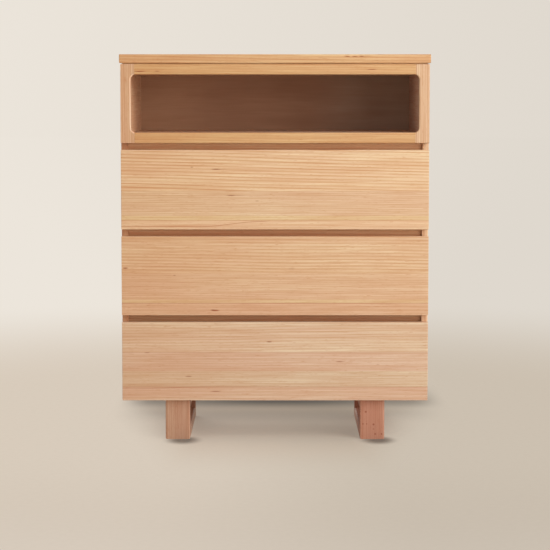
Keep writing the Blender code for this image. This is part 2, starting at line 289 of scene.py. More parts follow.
class Timber(Shader):
    """Solid timber, cut from boards glued edge to edge.

    axes are the directions of the grain, of the panel's width and of its thickness. Boards are
    listed from low to high along the width. Every face shows the cut that it makes through the
    same growth rings, so that end grain meets long grain at each edge.
    """

    def __init__(self, node, axes, boards, seed):
        super().__init__(node)
        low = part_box(node)[0]
        self.place = self.coordinates("Object")
        place = self.split(self.place)
        self.axes = axes
        self.along, self.wide, self.deep = (place[axis] for axis in axes)
        self.start, self.face = low[axes[1]], low[axes[2]]
        self.boards = boards
        self.seed = seed
        self.extent = sum(board.width for board in boards)
        self.share = self.remap(self.wide, self.start, self.start + self.extent, kind="LINEAR")
        self.edges = [sum(board.width for board in boards[:index]) for index in range(len(boards))]

    def per_board(self, colours):
        """A colour for each board."""
        stops = [(edge / self.extent, colour) for edge, colour in zip(self.edges, colours)]
        stops.append((1.0, colours[-1]))
        return self.ramp(self.share, stops, "CONSTANT")

    def streaks(self, along_scale, cross_scale, detail):
        """Noise that is long along the grain and round across it."""
        place = self.join(self.times(self.along, along_scale), self.times(self.wide, cross_scale),
                          self.times(self.deep, cross_scale))
        return self.noise(place, detail, BREAK_UP)

    def habits(self):
        """Each board's pith and ring distance, and its contrast and lean, all as shares."""
        centres, habits = [], []
        for board, edge in zip(self.boards, self.edges):
            across = (edge + board.pith[0]) / (4 * PITH_RANGE) + 0.5
            through = board.pith[1] / (2 * PITH_RANGE) + 0.5
            centres.append((across, through, board.ring / RING_RANGE, 1.0))
            habits.append((board.contrast, board.lean / (2 * LEAN_RANGE) + 0.5, 0.0, 1.0))
        return self.split(self.per_board(centres)), self.split(self.per_board(habits))

    def from_pith(self, centre, lean):
        """How far a point lies from the centre of the tree."""
        strayed = self.times(self.along, self.partway(lean, -LEAN_RANGE, LEAN_RANGE))
        pith_wide = self.partway(centre[0], self.start - 2 * PITH_RANGE, self.start + 2 * PITH_RANGE)
        pith_deep = self.partway(centre[1], self.face - PITH_RANGE, self.face + PITH_RANGE)
        away = self.calc("ADD", self.calc("SUBTRACT", self.wide, pith_wide), strayed)
        down = self.calc("ADD", self.calc("SUBTRACT", self.deep, pith_deep), strayed)
        squares = self.calc("ADD", self.calc("POWER", away, 2.0), self.calc("POWER", down, 2.0))
        return self.calc("SQRT", squares)

    def sway(self, number):
        """A slow wave in the rings, up and down from 0."""
        along = self.calc("MULTIPLY_ADD", self.along, SWAY_ALONG, self.calc("ADD", number, self.seed))
        place = self.join(along, self.times(self.wide, SWAY_ACROSS), self.times(self.deep, SWAY_ACROSS))
        return self.calc("SUBTRACT", self.noise(place, roughness=SWAY_ROUGHNESS), 0.5)

    def ring_strength(self, ring, number):
        """How strong one ring is. It fades and returns along its board."""
        chance = self.chance(self.calc("ADD", ring, self.seed))
        place = self.join(self.times(self.along, FADE_ALONG), self.times(chance, RINGS_APART), number)
        fading = self.remap(self.noise(place), *FADE_EDGE, FAINTEST, 1.0)
        return self.times(self.partway(chance, FAINTEST, 1.0), fading)

    def rings(self):
        """The dark latewood lines, from 0 to 1, and a number that differs from board to board."""
        centre, habit = self.habits()
        number = self.times(self.calc("ADD", centre[0], centre[1]), BOARDS_APART)
        bent = self.calc("MULTIPLY_ADD", self.sway(number), SWAY, self.from_pith(centre, habit[1]))
        turns = self.calc("DIVIDE", bent, self.times(centre[2], RING_RANGE))
        uneven = self.noise(self.join(self.times(turns, UNEVEN_RATE), self.seed, 0.0), detail=1.0)
        turns = self.calc("MULTIPLY_ADD", uneven, UNEVEN, turns)
        ring = self.calc("FLOOR", turns)
        phase = self.calc("SUBTRACT", turns, ring)
        line = self.times(self.remap(phase, *LATE_START), self.remap(phase, *LATE_END, 1.0, 0.0))
        return self.times(line, self.ring_strength(ring, number), habit[0]), number

    def seams(self):
        """The glue lines between the boards, from 0 to 1."""
        none = (0, 0, 0, 1)
        stops = [(0.0, none)]
        half = SEAM_HALF / self.extent
        for board, edge in zip(self.boards[1:], self.edges[1:]):
            middle = edge / self.extent
            stops += [(middle - half, none), (middle, (board.joint,) * 3 + (1,)), (middle + half, none)]
        stops.append((1.0, none))
        return self.ramp(self.share, stops)

    def end_grain(self):
        """How far a face looks along the grain. Its cut fibres take up more oil."""
        facing = self.calc("ABSOLUTE", self.split(self.coordinates("Normal"))[self.axes[0]])
        return self.remap(facing, *END_GRAIN, 0.0, END_DARK)

    def eased(self):
        """The eased edges round a front or back face, from 0 to 1. They look out at a slant."""
        facing = self.calc("ABSOLUTE", self.split(self.coordinates("Normal"))[Y])
        return self.times(self.remap(facing, *EASED_OUTER), self.remap(facing, *EASED_INNER, 1.0, 0.0))

    def vein(self, level, rise, start, end, half):
        """One dark line that runs level, then climbs by rise between start and end."""
        climb = self.remap(self.along, start, end, level, level + rise)
        wander = self.noise(self.join(self.times(self.along, VEIN_RATE), 0.0, 0.0), detail=1.0)
        off = self.calc("SUBTRACT", self.wide, self.calc("MULTIPLY_ADD", wander, VEIN_WANDER, climb))
        line = self.remap(self.calc("ABSOLUTE", off), 0.0, half, 1.0, 0.0)
        return self.times(line, self.remap(self.along, end, end + VEIN_END, VEIN_DARK, 0.0))

    def gum_mark(self, centre, size, ragged):
        """How far a point lies within one dark mark. Both triples follow X, Y and Z."""
        offset = self.vector_calc("SUBTRACT", self.place, centre)
        distance = self.length(self.vector_calc("DIVIDE", offset, [side / 2 for side in size]))
        return self.remap(self.calc("MULTIPLY_ADD", ragged, -1.0, distance), *MARK_EDGE, MARK_DARK, 0.0)

    def board_tones(self, tone, aged):
        """The timber's light colour, with each board's tint and a painted shade towards the left."""
        tints = [(*(channel / TINT_RANGE for channel in board.tint), 1.0) for board in self.boards]
        light = self.tint(self.tint(tone, self.per_board(tints)), (TINT_RANGE,) * 3 + (1.0,))
        if not aged:
            return light
        # painted shade towards the left
        left = self.remap(self.split(self.place)[X], *LEFT_SHADE_STRETCH, 1.0, 0.0)
        return self.mix(left, light, self.tint(light, PAINTED_LEFT_SHADE))

    def patches(self, light, number):
        """The light colour, paler in some places and rosier in others."""
        place = self.join(self.times(self.along, PATCH_ALONG),
                          self.calc("MULTIPLY_ADD", self.wide, PATCH_ACROSS, self.seed), number)
        patch = self.remap(self.noise(place), *PATCH_EDGE)
        return self.mix(patch, self.tint(light, PALE_PATCH), self.tint(light, ROSY_PATCH))


# How far each feature stands out or, below 0, lies in, and how much it adds to the roughness
RELIEF = 0.00008
FIBRE_RELIEF, RING_RELIEF, PORE_RELIEF, SEAM_RELIEF = 0.5, -0.2, -0.5, -0.6
ROUGHNESS = 0.46
FIBRE_ROUGH, PORE_ROUGH, EASED_ROUGH = 0.16, 0.15, -0.16


def wood(node, axes, boards, tone, seed, marks=(), roughness=ROUGHNESS, vein=None, recess_shade=None,
         aged=True, edge_wear_and_highlight=WEAR_AND_HIGHLIGHT):
    """Oiled timber for one piece, of the colour tone, with the grain that seed gives.

    marks are (centre, size, strength) of dark gum marks, and vein is one dark ring line that
    leaves its board's run. recess_shade is the stretch of a painted shade in a recess, from its
    darkest level to where it ends. Timber with aged gets a painted shade towards the left,
    and edge_wear_and_highlight is the colour of its eased edges, as a share of its own: paler
    from wear and from a painted highlight.
    """
    timber = Timber(node, axes, boards, seed)
    line, number = timber.rings()
    seam = timber.seams()
    eased = timber.eased()
    broad = timber.remap(timber.streaks(*BROAD), *BROAD_DARK)
    fibre = timber.streaks(*FIBRE)
    pores = timber.remap(timber.streaks(*PORES), *PORE_EDGE)

    light = timber.board_tones(tone, aged)
    dark = timber.tint(light, LATEWOOD)
    deeper = timber.tint(dark, LATEWOOD)
    colour = timber.patches(light, number)
    for factor in (broad, line, timber.remap(fibre, *FIBRE_DARK), timber.times(pores, PORE_DARK)):
        colour = timber.mix(factor, colour, dark)
    colour = timber.mix(seam, colour, deeper)
    colour = timber.mix(timber.end_grain(), colour, dark)
    for centre, size, strength in marks:
        mask = timber.times(timber.gum_mark(centre, size, fibre), strength)
        colour = timber.mix(mask, colour, timber.tint(colour, GUM))
    if vein:
        colour = timber.mix(timber.vein(*vein), colour, deeper)
    # eased edges paler, from wear and from a painted highlight
    colour = timber.mix(eased, colour, timber.tint(colour, edge_wear_and_highlight))
    # painted shade in a recess, darkest at the start of its stretch
    if recess_shade:
        colour = timber.mix(timber.remap(timber.wide, *recess_shade, 1.0, 0.0), colour, timber.tint(colour, PAINTED_RECESS_SHADE))

    relief = timber.total(0.0, (line, RING_RELIEF), (fibre, FIBRE_RELIEF), (pores, PORE_RELIEF),
                          (seam, SEAM_RELIEF))
    smoothest = roughness - FIBRE_ROUGH / 2
    rough = timber.total(smoothest, (fibre, FIBRE_ROUGH), (pores, PORE_ROUGH), (eased, EASED_ROUGH))
    return timber.finish(colour, rough, relief, RELIEF)


# Painted light on the veneer's front face, towards its ends, where light reaches the back of the niche:
# from, to, and its colour there as a share of the rest
PAINTED_VENEER_LIGHT = [(0.08, 0.38, (1.32, 1.85, 2.45, 1.0)), (-0.12, -0.36, (1.17, 1.24, 1.26, 1.0))]
VENEER_LINE = (0.72, 0.60, 0.50, 1.0)     # the veneer's dark lines and clouds, as shares of it
VENEER_CLOUD = (0.80, 0.74, 0.70, 1.0)
# How often each feature repeats along and across the grain, per metre, and its detail
FIGURE = (2.0, 24.0, 4.0)
STRIPES = (0.7, 75.0, 3.0)
VENEER_FIBRE = (9.0, 420.0, 3.0)
CLOUDS = (4.0, 9.0, 3.0)
VENEER_BREAK_UP = 0.55
# Between which levels of its noise each one darkens the veneer, and by how much at most
FIGURE_DARK = (0.30, 0.75, 0.0, 0.50)
STRIPE_DARK = (0.35, 0.65, 0.0, 0.40)
CLOUD_DARK = (0.35, 0.65, 0.0, 0.35)
VENEER_FIBRE_EDGE = (0.35, 0.75)
FIBRE_BEHIND, FIBRE_BEFORE = 0.45, 0.25
VENEER_ROUGHNESS, VENEER_FIBRE_ROUGH = 0.48, 0.15
VENEER_RELIEF = 0.00004


def veneered_board(node, axes, tone, rear_tone, seed):
    """Thin board with a smooth, clouded veneer on its front face, painted lighter towards its ends, and a
    striped one behind.
    """
    shader = Shader(node)
    place = shader.split(shader.coordinates("Object"))
    along, wide = place[axes[0]], place[axes[1]]

    def streaks(along_scale, wide_scale, detail):
        spot = shader.join(shader.times(along, along_scale), shader.times(wide, wide_scale), seed)
        return shader.noise(spot, detail, VENEER_BREAK_UP)

    facing = shader.times(shader.split(shader.coordinates("Normal"))[Y], -1.0)
    front = shader.calc("GREATER_THAN", facing, 0.5)
    light = shader.mix(front, rear_tone, tone)
    cloudy = shader.times(shader.remap(streaks(*CLOUDS), *CLOUD_DARK), front)
    light = shader.mix(cloudy, light, shader.tint(light, VENEER_CLOUD))
    # painted light towards both ends of the front face
    for start, end, share in PAINTED_VENEER_LIGHT:
        painted_light = shader.times(front, shader.remap(along, start, end))
        light = shader.mix(painted_light, light, shader.tint(light, share))
    dark = shader.tint(light, VENEER_LINE)
    figured = shader.mix(shader.remap(streaks(*FIGURE), *FIGURE_DARK), light, dark)
    striped = shader.mix(shader.remap(streaks(*STRIPES), *STRIPE_DARK), light, dark)
    colour = shader.mix(front, striped, figured)
    fibre = streaks(*VENEER_FIBRE)
    strength = shader.partway(front, FIBRE_BEHIND, FIBRE_BEFORE)
    strength = shader.times(shader.remap(fibre, *VENEER_FIBRE_EDGE), strength)
    colour = shader.mix(strength, colour, dark)
    rough = shader.total(VENEER_ROUGHNESS, (fibre, VENEER_FIBRE_ROUGH))
    return shader.finish(colour, rough, fibre, VENEER_RELIEF)


def dress(node, material):
    """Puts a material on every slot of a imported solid."""
    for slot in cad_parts[node].material_slots:
        slot.material = material


# How grain, width and thickness lie in each kind of piece
LEVEL_FRONT = (X, Z, Y)
UPRIGHT_FRONT = (Z, X, Y)
LEVEL_PANEL = (X, Y, Z)
UPRIGHT_SIDE = (Z, Y, X)
DEEP_SIDE = (Y, Z, X)
DEEP_PANEL = (Y, X, Z)

# The timber's colours
HONEY = srgb(236, 210, 175)
HONEY_LOW = srgb(231, 201, 167)
HONEY_BASE = srgb(228, 204, 177)
AMBER = srgb(224, 186, 136)
SLAB = srgb(230, 193, 143)
STILE = srgb(227, 194, 160)
LINING = srgb(222, 195, 173)
WALL_TONES = {"left": srgb(234, 200, 166), "right": srgb(229, 201, 182)}
RAIL_TONES = {1: srgb(238, 193, 149), 2: srgb(230, 183, 141), 3: srgb(211, 168, 129)}
FRONT_TONES = {1: HONEY, 2: HONEY_LOW, 3: HONEY_BASE}
LEG_TONES = {"left": srgb(201, 165, 141), "right": srgb(195, 144, 121)}
# The rear posts get painted shade, as they stand in the shade under the case, and the runners are painted
# paler, standing in for light on their inner sides
LEG_LIGHT_AND_SHADE = {"front_post": PLAIN, "rear_post": (0.74, 0.62, 0.56), "runner": (1.18, 1.24, 1.28),
             "top_rail": PLAIN}
BOX = srgb(226, 196, 152)
VENEER = srgb(181, 137, 107)
VENEER_REAR = srgb(226, 192, 155)
# The left stile's inner edge gets the strongest painted highlight, where it catches the light from the right
STILE_EDGE_HIGHLIGHT = {"left": (1.60, 2.00, 2.60, 1.0), "right": WEAR_AND_HIGHLIGHT}

# Grain seeds, one for each kind of piece
SEEDS = {"side": 3.1, "top": 11.0, "bottom": 13.0, "back": 17.0, "niche_panel": 19.0,
         "niche_wall": 23.0, "stile": 29.0, "frame_rail": 31.0, "finger_rail": 37.0, "leg": 41.0,
         "front": 50.0, "box": 60.0, "drawer_bottom": 70.0}

# Widths of the glued-up blanks. Each is as wide as the panel cut from it, or a little wider.
SIDE_BLANK = 0.43
TOP_BLANK = 0.45
LEVEL_BLANK = 0.42
WALL_BLANK = 0.17
WALL_CONTRAST = 0.3         # how dark the growth rings of the niche's walls are
DRAWER_BOTTOM_BOARD = 0.2
DRAWER_BOTTOM_CONTRAST = 0.5

SLAB_ROUGHNESS, BOX_ROUGHNESS, DRAWER_BOTTOM_ROUGHNESS = 0.60, 0.50, 0.55

# Pieces that are one board each
STILE_BOARD = Board(0.045, (-0.20, 0.02), 0.0062, 1.00)
FRAME_RAIL_BOARD = Board(0.032, (-0.20, 0.02), 0.0075, 0.60, lean=0.01)
FINGER_RAIL_BOARD = Board(0.060, (-0.20, 0.02), 0.0090, 0.35)
BOX_BOARD = Board(0.200, (-0.10, 0.08), 0.0050, 0.40)
LEG_BOARDS = {piece: Board(0.075, (-0.10, 0.02), 0.0060, 0.50, tint) for piece, tint in LEG_LIGHT_AND_SHADE.items()}

# The boards of each drawer front, from its base up. A pale strip lies over the lowest joint.
PINKISH = (0.965, 0.905, 0.895)
STRAW = (1.00, 1.04, 0.95)
FRONT_BOARDS = {
    1: [Board(0.0265, (-0.14, 0.01), 0.0120, 0.30, (1.01, 0.97, 0.96), lean=-0.010),
        Board(0.0130, (-0.30, 0.05), 0.0050, 0.40, STRAW, joint=0.6),
        Board(0.0730, (-0.20, 0.05), 0.0062, 0.50, (0.965, 0.94, 0.93), joint=0.0),
        Board(0.1185, (-0.25, 0.02), 0.0094, 1.00, (1.03, 1.03, 1.01), lean=0.022, joint=0.0)],
    2: [Board(0.036, (0.30, 0.03), 0.0100, 0.35, PINKISH),
        Board(0.010, (-0.30, 0.05), 0.0060, 0.30, STRAW, joint=1.0),
        Board(0.076, (-0.22, 0.02), 0.0065, 0.50, (0.99, 0.97, 0.96), joint=0.0),
        Board(0.109, (-0.28, 0.02), 0.0092, 0.80, (1.01, 1.01, 0.98), lean=0.006, joint=0.0)],
    3: [Board(0.040, (-0.35, 0.02), 0.0110, 0.35, (0.98, 0.93, 0.93), lean=-0.004),
        Board(0.046, (-0.30, 0.05), 0.0055, 0.50, (0.97, 0.99, 0.96), joint=1.0),
        Board(0.056, (0.24, 0.02), 0.0070, 0.40, (0.99, 0.955, 0.96), joint=0.0),
        Board(0.089, (-0.30, 0.02), 0.0085, 0.70, (1.01, 1.01, 0.99), lean=-0.003, joint=0.5)],
}
# A dark line in a front's low boards: level, rise, where it starts and stops to climb, half width
VEINS = {1: (0.6275, 0.0150, -0.215, -0.040, 0.0019),
         3: (0.1530, 0.0045, -0.360, -0.200, 0.0013)}

# Gum marks: from the middle, up from the floor, length, height and strength
FRONT_MARKS = {
    1: [(-0.172, 0.7950, 0.032, 0.0042, 0.85), (-0.160, 0.7955, 0.060, 0.0030, 0.35),
        (-0.128, 0.7190, 0.030, 0.0042, 0.80), (-0.112, 0.7195, 0.070, 0.0032, 0.50),
        (-0.241, 0.8010, 0.010, 0.0035, 0.80), (-0.052, 0.7030, 0.014, 0.0035, 0.60)],
    2: [(-0.436, 0.5070, 0.020, 0.0060, 1.00), (-0.174, 0.3835, 0.026, 0.0060, 1.00),
        (-0.182, 0.3850, 0.014, 0.0050, 0.60), (-0.293, 0.4860, 0.009, 0.0035, 0.60),
        (0.049, 0.5060, 0.026, 0.0060, 0.30)],
    3: [(-0.017, 0.2910, 0.018, 0.0045, 0.90), (-0.374, 0.2590, 0.020, 0.0040, 0.60),
        (-0.253, 0.1890, 0.022, 0.0040, 0.70), (-0.174, 0.1450, 0.034, 0.0035, 0.80),
        (0.190, 0.2330, 0.030, 0.0045, 0.60), (0.301, 0.2240, 0.014, 0.0035, 0.40)],
}
SLAB_MARKS = [(0.209, 1.1207, 0.020, 0.0040, 1.0), (0.230, 1.1203, 0.022, 0.0036, 0.9),
              (0.249, 1.1208, 0.018, 0.0036, 0.9), (0.262, 1.1212, 0.050, 0.0036, 0.5)]
FRAME_RAIL_MARKS = {
    "top": [(0.280, 1.083, 0.028, 0.0035, 0.8), (-0.390, 1.077, 0.036, 0.0038, 1.0),
            (-0.340, 1.078, 0.018, 0.0034, 0.8)],
    "bottom": [],
}
LEG_MARKS = [(0.267, 0.0810, 0.008, 0.008, 0.9), (0.290, 0.0435, 0.008, 0.008, 0.9),
             (0.259, 0.0450, 0.006, 0.006, 0.7), (0.270, 0.0450, 0.005, 0.005, 0.7),
             (0.290, 0.0300, 0.006, 0.006, 0.6), (0.295, 0.0150, 0.007, 0.007, 0.8),
             (0.314, 0.0150, 0.006, 0.007, 0.9)]

# How far the painted recess shade reaches, in from its edge
SIDE_SHADE_DEPTH = 0.020
RAIL_SHADE_DEPTH = 0.018


def marks_on(face_y, flat_marks):
    """Marks on a face that looks forwards, twice as deep as they are high."""
    return [((x, face_y, z), (length, height * 2, height), strength)
            for x, z, length, height, strength in flat_marks]


def dress_case():
    for side, sign in SIDES.items():
        node = f"side_panel_{side}"
        boards = random_boards(SIDE_BLANK, f"side {side}")
        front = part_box(node)[0][Y]
        # painted shade on the left side's front edge only, which the light from the right doesn't reach
        recess_shade = (front, front + SIDE_SHADE_DEPTH) if side == "left" else None
        dress(node, wood(node, UPRIGHT_SIDE, boards, HONEY_LOW, SEEDS["side"] + sign, recess_shade=recess_shade))
    boards = random_boards(TOP_BLANK, "top")
    marks = marks_on(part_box("top_panel")[0][Y], SLAB_MARKS)
    dress("top_panel", wood("top_panel", LEVEL_PANEL, boards, SLAB, SEEDS["top"], marks, SLAB_ROUGHNESS))
    boards = random_boards(LEVEL_BLANK, "bottom")
    dress("bottom_panel", wood("bottom_panel", LEVEL_PANEL, boards, HONEY_LOW, SEEDS["bottom"]))
    dress("back_panel", veneered_board("back_panel", LEVEL_FRONT, VENEER, VENEER_REAR, SEEDS["back"]))


def dress_niche():
    for node in ("niche_floor", "niche_ceiling"):
        boards = random_boards(LEVEL_BLANK, node)
        dress(node, wood(node, LEVEL_PANEL, boards, LINING, SEEDS["niche_panel"]))
    for side in SIDES:
        node = f"niche_wall_{side}"
        boards = random_boards(WALL_BLANK, node, contrast=WALL_CONTRAST)
        dress(node, wood(node, DEEP_SIDE, boards, WALL_TONES[side], SEEDS["niche_wall"]))
    for side, sign in SIDES.items():
        node = f"niche_stile_{side}"
        dress(node, wood(node, UPRIGHT_FRONT, [STILE_BOARD], STILE, SEEDS["stile"] + sign,
                         edge_wear_and_highlight=STILE_EDGE_HIGHLIGHT[side]))
    for level, flat_marks in FRAME_RAIL_MARKS.items():
        node = f"niche_{level}_rail"
        marks = marks_on(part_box(node)[0][Y], flat_marks)
        dress(node, wood(node, LEVEL_FRONT, [FRAME_RAIL_BOARD], AMBER, SEEDS["frame_rail"], marks))


def dress_finger_rails():
    for number in DRAWERS:
        node = f"finger_rail_{number}"
        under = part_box(f"drawer_{number}_front")[1][Z]
        # painted shade on each rail, darkest at the level of the drawer front's top edge
        dress(node, wood(node, LEVEL_FRONT, [FINGER_RAIL_BOARD], RAIL_TONES[number],
                         SEEDS["finger_rail"] + number, recess_shade=(under, under + RAIL_SHADE_DEPTH), aged=False))


def dress_legs():
    for side, sign in SIDES.items():
        for piece, board in LEG_BOARDS.items():
            node = f"leg_{side}_{piece}"
            axes = UPRIGHT_FRONT if piece.endswith("post") else DEEP_PANEL
            marks = marks_on(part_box(node)[0][Y], LEG_MARKS) if node == "leg_right_front_post" else []
            seed = SEEDS["leg"] + sign + len(piece)
            dress(node, wood(node, axes, [board], LEG_TONES[side], seed, marks))


def dress_drawers():
    for number in DRAWERS:
        node = f"drawer_{number}_front"
        marks = marks_on(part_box(node)[0][Y], FRONT_MARKS[number])
        dress(node, wood(node, LEVEL_FRONT, FRONT_BOARDS[number], FRONT_TONES[number],
                         SEEDS["front"] + number, marks, vein=VEINS.get(number)))
        for piece in ("box_front", "back", "side_left", "side_right"):
            node = f"drawer_{number}_{piece}"
            axes = DEEP_SIDE if piece.startswith("side") else LEVEL_FRONT
            seed = SEEDS["box"] + number + len(piece)
            dress(node, wood(node, axes, [BOX_BOARD], BOX, seed, roughness=BOX_ROUGHNESS))
        node = f"drawer_{number}_bottom"
        boards = random_boards(LEVEL_BLANK, node, DRAWER_BOTTOM_BOARD, DRAWER_BOTTOM_CONTRAST)
        seed = SEEDS["drawer_bottom"] + number
        dress(node, wood(node, LEVEL_PANEL, boards, BOX, seed, roughness=DRAWER_BOTTOM_ROUGHNESS))


STEEL_DARK = srgb(176, 179, 184)
STEEL_PALE = srgb(205, 207, 209)
ROLLED_ALONG, ROLLED_ACROSS = 12.0, 900.0     # how often the rolling lines change, per metre
MOTTLE = 90.0
MOTTLE_BREAK_UP = 0.6
MOTTLE_EDGE = (0.3, 0.7)
STEEL_ROUGHNESS, MOTTLE_ROUGH, LINE_ROUGH = 0.20, 0.12, 0.14
STEEL_RELIEF = 0.00003


def zinc_steel():
    """Pressed steel strip, zinc plated: fine rolling lines along it, and a mottled sheen."""
    shader = Shader("zinc_steel")
    place = shader.coordinates("Object")
    x, y, z = shader.split(place)
    rolled = shader.join(shader.times(x, ROLLED_ACROSS), shader.times(y, ROLLED_ALONG),
                         shader.times(z, ROLLED_ACROSS))
    lines = shader.noise(rolled)
    mottle = shader.noise(place, 3.0, MOTTLE_BREAK_UP, MOTTLE)
    colour = shader.mix(shader.remap(mottle, *MOTTLE_EDGE), STEEL_DARK, STEEL_PALE)
    rough = shader.total(STEEL_ROUGHNESS, (mottle, MOTTLE_ROUGH), (lines, LINE_ROUGH))
    shader.surface.inputs["Metallic"].default_value = 1.0
    return shader.finish(colour, rough, lines, STEEL_RELIEF)


SCREW_SIDES = 24
# Each loop of a screw head, from its rim to the middle: shares of the radius, share of the height
HEAD_RIM = [((1.0,), 0.0), ((0.98,), 0.4), ((0.85,), 0.85), ((0.62,), 1.0)]
CROSS = (0.50, 0.48, 0.17, 0.15, 0.17, 0.48)     # one arm of the recess, a share for each step
CROSS_TAPER = 0.8
CROSS_FLOOR = 0.15

# Radius and height of each kind of head
PANEL_SCREW = (0.0036, 0.0004)
FRONT_SCREW = (0.0042, 0.0020)
SLIDE_SCREW = (0.0034, 0.0016)

# How many screws stand in each row, and how far in from its ends
BACK_COLUMN, BACK_COLUMN_END = 7, 0.06
BACK_ROW, BACK_ROW_END = 6, 0.09
FRONT_ROW, FRONT_ROW_END = 4, 0.08
SLIDE_ROW, SLIDE_ROW_FRONT, SLIDE_ROW_REAR = 4, 0.035, 0.05
SHEET = 0.0012         # thickness of the slides' steel


def screw_head(mesh, place, outward, radius, height):
    """One head with a cross recess. It stands on place and looks outward."""
    turn = Vector((0, 0, 1)).rotation_difference(Vector(outward)).to_matrix()

    def ring(shares, level):
        loop = []
        for step in range(SCREW_SIDES):
            angle = 2 * math.pi * step / SCREW_SIDES
            point = Vector((math.cos(angle), math.sin(angle), 0)) * radius * shares[step % len(shares)]
            point.z = level * height
            loop.append(mesh.verts.new(turn @ point + Vector(place)))
        return loop

    recess = [(CROSS, 1.0), ([share * CROSS_TAPER for share in CROSS], CROSS_FLOOR)]
    loops = [ring(shares, level) for shares, level in HEAD_RIM + recess]
    for lower, upper in zip(loops, loops[1:]):
        for step in range(SCREW_SIDES):
            after = (step + 1) % SCREW_SIDES
            mesh.faces.new((lower[step], lower[after], upper[after], upper[step]))
    mesh.faces.new(loops[0][::-1])
    mesh.faces.new(loops[-1])


def make_screws(name, body, size, places, steel):
    """A group of equal screws. places are pairs: where a head stands, and which way it looks."""
    mesh = bmesh.new()
    for place, outward in places:
        screw_head(mesh, place, outward, *size)
    data = bpy.data.meshes.new(name)
    mesh.to_mesh(data)
    mesh.free()
    data.materials.append(steel)
    piece = bpy.data.objects.new(name, data)
    bpy.context.scene.collection.objects.link(piece)
    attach(piece, body)


def evenly(low, high, count):
    """count values from low to high, all the same distance apart."""
    return [low + (high - low) * step / (count - 1) for step in range(count)]


def add_back_screws(steel):
    """Countersunk screws that hold the back panel to the sides and to the level panels."""
    low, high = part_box("back_panel")
    edge = (high[X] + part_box("side_panel_right")[0][X]) / 2
    rear = (0, 1, 0)
    places = []
    for side in SIDES.values():
        for z in evenly(low[Z] + BACK_COLUMN_END, high[Z] - BACK_COLUMN_END, BACK_COLUMN):
            places.append(((side * edge, high[Y], z), rear))
    for node in ("bottom_panel", "niche_floor", "niche_ceiling"):
        level = sum(corner[Z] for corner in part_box(node)) / 2
        for x in evenly(low[X] + BACK_ROW_END, high[X] - BACK_ROW_END, BACK_ROW):
            places.append(((x, high[Y], level), rear))
    make_screws("back_panel_screws", "carcass", PANEL_SCREW, places, steel)


def add_front_screws(number, steel):
    """Screws through a drawer's box front into its front."""
    low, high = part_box(f"drawer_{number}_box_front")
    level = (low[Z] + high[Z]) / 2
    places = [((x, high[Y], level), (0, 1, 0))
              for x in evenly(low[X] + FRONT_ROW_END, high[X] - FRONT_ROW_END, FRONT_ROW)]
    make_screws(f"drawer_{number}_front_screws", f"drawer_{number}", FRONT_SCREW, places, steel)


def add_slide_screws(number, steel):
    """Screws through a drawer's slides into its sides."""
    places = []
    for name, side in SIDES.items():
        low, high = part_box(f"slide_{number}_{name}_drawer_member")
        web = side * (min(abs(low[X]), abs(high[X])) + SHEET)
        level = (low[Z] + high[Z]) / 2
        for y in evenly(low[Y] + SLIDE_ROW_FRONT, high[Y] - SLIDE_ROW_REAR, SLIDE_ROW):
            places.append(((web, y, level), (side, 0, 0)))
    make_screws(f"drawer_{number}_slide_screws", f"drawer_{number}", SLIDE_SCREW, places, steel)


def dress_slides():
    """Steel for the slides, and the screws that hold the drawers and the back."""
    steel = zinc_steel()
    for number in DRAWERS:
        for side in SIDES:
            for member in ("cabinet", "middle", "drawer"):
                dress(f"slide_{number}_{side}_{member}_member", steel)
        add_front_screws(number, steel)
        add_slide_screws(number, steel)
    add_back_screws(steel)


FLOOR_LEFT = srgb(217, 204, 188)
FLOOR_RIGHT = srgb(205, 193, 177)
WALL_LEFT = srgb(236, 229, 219)
WALL_RIGHT = srgb(223, 216, 206)
SCUFFED = (0.975, 0.975, 0.975, 1.0)     # colours as shares of the floor's
FOREGROUND = (0.955, 0.950, 0.950, 1.0)
FOREGROUND_STRETCH = (-0.4, -1.6)        # along Y, from where it starts to where it is full
CLOSE_SHADE = (0.10, 0.115, 0.13, 1.0)
FLOOR_RADIUS = 40.0
FLOOR_SIDES = 64
FLOOR_ROUGHNESS = 0.8
GRIT = 60.0
GRIT_EDGE = (0.2, 0.8)
GRIT_RELIEF = 0.0001
SIDE_REACH = 0.22      # how far to a side each side's colour is full, as a share of the distance
NEAR_BLEND = 1.2       # how far from the object the left and right colours still blend softly
FADE = (1.15, 3.7)     # distances between which the floor turns into the backdrop

# Stretches along Y unless they say otherwise. The object's own shade falls inside them, and
# the floor glows by itself outside.
CLEAR_BESIDE = (0.30, 0.54)      # away from the middle, at the object's back
CLEAR_BEHIND = (0.80, 1.30)
CLEAR_BEFORE = (-0.15, -0.80)
NARROWS_FROM = 0.25              # from here forwards the shade narrows, by this much a metre
NARROWING = 0.22
UNDER_GLOW = 0.40                # how strongly the floor still glows under the object
DEEP_STRETCH = (0.05, 0.35)      # from here backwards it glows less again
DEEP_GLOW = 0.40

